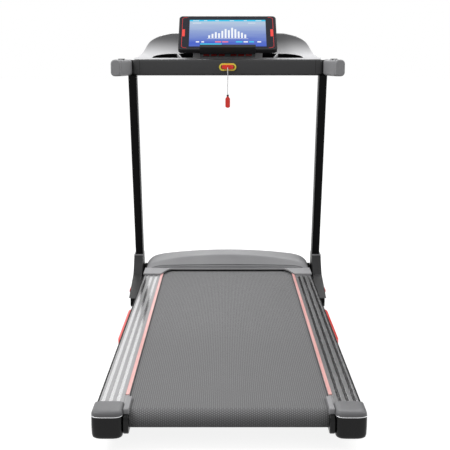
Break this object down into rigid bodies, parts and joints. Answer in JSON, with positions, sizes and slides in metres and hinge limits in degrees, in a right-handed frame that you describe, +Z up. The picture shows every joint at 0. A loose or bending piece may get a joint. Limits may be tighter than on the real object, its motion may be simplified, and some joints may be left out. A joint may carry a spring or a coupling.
{
  "type": "folding motorised treadmill",
  "caption": "Flat-deck folding motorised treadmill with grooved foot rails, low motor hood, leaning uprights, crossbar with arms, tilted display and a hanging safety key.",
  "frame": {"origin": "on the floor, below the middle of the whole treadmill", "axes": "+Y forward, from the rear roller to the motor hood; +X to the runner's right; +Z up"},
  "size_m": [0.812, 1.6, 1.0654],
  "materials": {
    "black_steel": "satin black powder coat",
    "deck_steel": "matt black powder coat",
    "rail_aluminium": "satin anodised",
    "bright_steel": "ground",
    "black_abs": "fine moulded texture",
    "grey_abs": "fine moulded texture",
    "silver_abs": "silver lacquer",
    "hood_abs": "satin grey",
    "belt_pvc": "fine diamond emboss",
    "board_laminate": "phenolic faced fibreboard",
    "rubber": "moulded",
    "red_plastic": "gloss",
    "strip_red": "translucent printed strip",
    "yellow_plastic": "gloss",
    "display_glass": "gloss, lit",
    "key_plastic": "printed",
    "cord_nylon": "braided nylon",
    "circuit_board": "mill finish heat sink"
  },
  "bodies": {
    "deck": {"side_rails": "rail_aluminium", "rail_strips": "strip_red", "side_trims": "red_plastic", "deck_frame": "deck_steel", "deck_cushions": "rubber", "running_board": "board_laminate", "running_belt": "belt_pvc", "roller_axles": "bright_steel", "end_caps": "black_abs", "end_cap_lids": "grey_abs", "adjuster_bolts": "bright_steel", "belt_guides": "grey_abs", "rear_feet": "rubber", "fold_pins": "bright_steel", "motor_hood": "hood_abs", "hood_trim": "hood_abs", "motor_pan": "black_abs", "motor": "black_steel", "drive_belt": "rubber", "control_board": "circuit_board", "inlet_and_switch_frame": "black_abs"},
    "front_roller": {"front_roller": "bright_steel", "roller_pulley": "rail_aluminium"},
    "rear_roller": {"rear_roller": "bright_steel"},
    "motor_shaft": {"motor_pulley": "bright_steel"},
    "power_switch": {"power_switch": "red_plastic"},
    "strut_cylinder": {"strut_cylinder": "black_steel"},
    "strut_rod": {"strut_rod": "bright_steel"},
    "wheel_right": {"transport_wheel_right": "black_abs"},
    "wheel_left": {"transport_wheel_left": "black_abs"},
    "safety_key": {"safety_key": "red_plastic", "safety_cord": "cord_nylon", "cord_bead": "black_abs", "key_clip": "red_plastic"},
    "console_key_1": {"console_key_1": "key_plastic"},
    "console_key_2": {"console_key_2": "key_plastic"},
    "console_key_3": {"console_key_3": "key_plastic"},
    "console_key_4": {"console_key_4": "key_plastic"},
    "console_key_5": {"console_key_5": "key_plastic"},
    "console_key_6": {"console_key_6": "key_plastic"},
    "base": {"arm_caps": "grey_abs", "arm_pads": "black_abs", "boot_accents": "red_plastic", "boot_collars": "grey_abs", "boots": "grey_abs", "console_shell": "silver_abs", "cross_tubes": "black_steel", "display_glass": "display_glass", "display_housing": "black_abs", "display_neck": "black_abs", "floor_feet": "rubber", "floor_runners": "black_steel", "handlebar": "black_abs", "key_panel": "black_abs", "lock_bezel": "yellow_plastic", "media_ledge": "black_abs", "tray_liners": "black_abs", "uprights": "black_steel"}
  },
  "joints": [
    {"name": "deck_fold", "type": "hinge", "parent": "base", "child": "deck", "pos_m": [0, 0.775, 0.08], "axis": [-1, 0, 0], "range_deg": [0, 64]},
    {"name": "front_roller_spin", "type": "hinge", "parent": "deck", "child": "front_roller", "pos_m": [0, 0.668, 0.0755], "axis": [1, 0, 0], "continuous": true},
    {"name": "rear_roller_spin", "type": "hinge", "parent": "deck", "child": "rear_roller", "pos_m": [0, -0.745, 0.0755], "axis": [1, 0, 0], "continuous": true},
    {"name": "motor_spin", "type": "hinge", "parent": "deck", "child": "motor_shaft", "pos_m": [0, 0.748, 0.088], "axis": [1, 0, 0], "continuous": true},
    {"name": "strut_swing", "type": "hinge", "parent": "base", "child": "strut_cylinder", "pos_m": [0, 0.6, 0.027], "axis": [-1, 0, 0], "range_deg": [0, 77.31]},
    {"name": "strut_slide", "type": "slide", "parent": "strut_cylinder", "child": "strut_rod", "axis": [0, -1, 0], "range_m": [0, 0.1622]},
    {"name": "wheel_right_spin", "type": "hinge", "parent": "base", "child": "wheel_right", "pos_m": [0.344, 0.778, 0.022], "axis": [1, 0, 0], "continuous": true},
    {"name": "wheel_left_spin", "type": "hinge", "parent": "base", "child": "wheel_left", "pos_m": [-0.344, 0.778, 0.022], "axis": [1, 0, 0], "continuous": true},
    {"name": "key_pull", "type": "slide", "parent": "base", "child": "safety_key", "axis": [0, -1, 0], "range_m": [0, 0.015]},
    {"name": "power_rock", "type": "hinge", "parent": "deck", "child": "power_switch", "pos_m": [-0.14, 0.79, 0.068], "axis": [1, 0, 0], "range_deg": [0, 8]},
    {"name": "key_1_press", "type": "slide", "parent": "base", "child": "console_key_1", "axis": [0, 0.6428, -0.766], "range_m": [0, 0.0012], "stiffness_N_per_m": 300, "springref_m": -0.0006},
    {"name": "key_2_press", "type": "slide", "parent": "base", "child": "console_key_2", "axis": [0, 0.6428, -0.766], "range_m": [0, 0.0012], "stiffness_N_per_m": 300, "springref_m": -0.0006},
    {"name": "key_3_press", "type": "slide", "parent": "base", "child": "console_key_3", "axis": [0, 0.6428, -0.766], "range_m": [0, 0.0012], "stiffness_N_per_m": 300, "springref_m": -0.0006},
    {"name": "key_4_press", "type": "slide", "parent": "base", "child": "console_key_4", "axis": [0, 0.6428, -0.766], "range_m": [0, 0.0012], "stiffness_N_per_m": 300, "springref_m": -0.0006},
    {"name": "key_5_press", "type": "slide", "parent": "base", "child": "console_key_5", "axis": [0, 0.6428, -0.766], "range_m": [0, 0.0012], "stiffness_N_per_m": 300, "springref_m": -0.0006},
    {"name": "key_6_press", "type": "slide", "parent": "base", "child": "console_key_6", "axis": [0, 0.6428, -0.766], "range_m": [0, 0.0012], "stiffness_N_per_m": 300, "springref_m": -0.0006}
  ],
  "couplings": [
    {"joint": "rear_roller_spin", "follows": "front_roller_spin", "ratio": 1},
    {"joint": "motor_spin", "follows": "front_roller_spin", "ratio": 2.2857},
    {"joint": "strut_swing", "follows": "deck_fold", "ratio": 1.2001},
    {"joint": "strut_slide", "follows": "deck_fold", "m_per_rad": 0.14345}
  ]
}
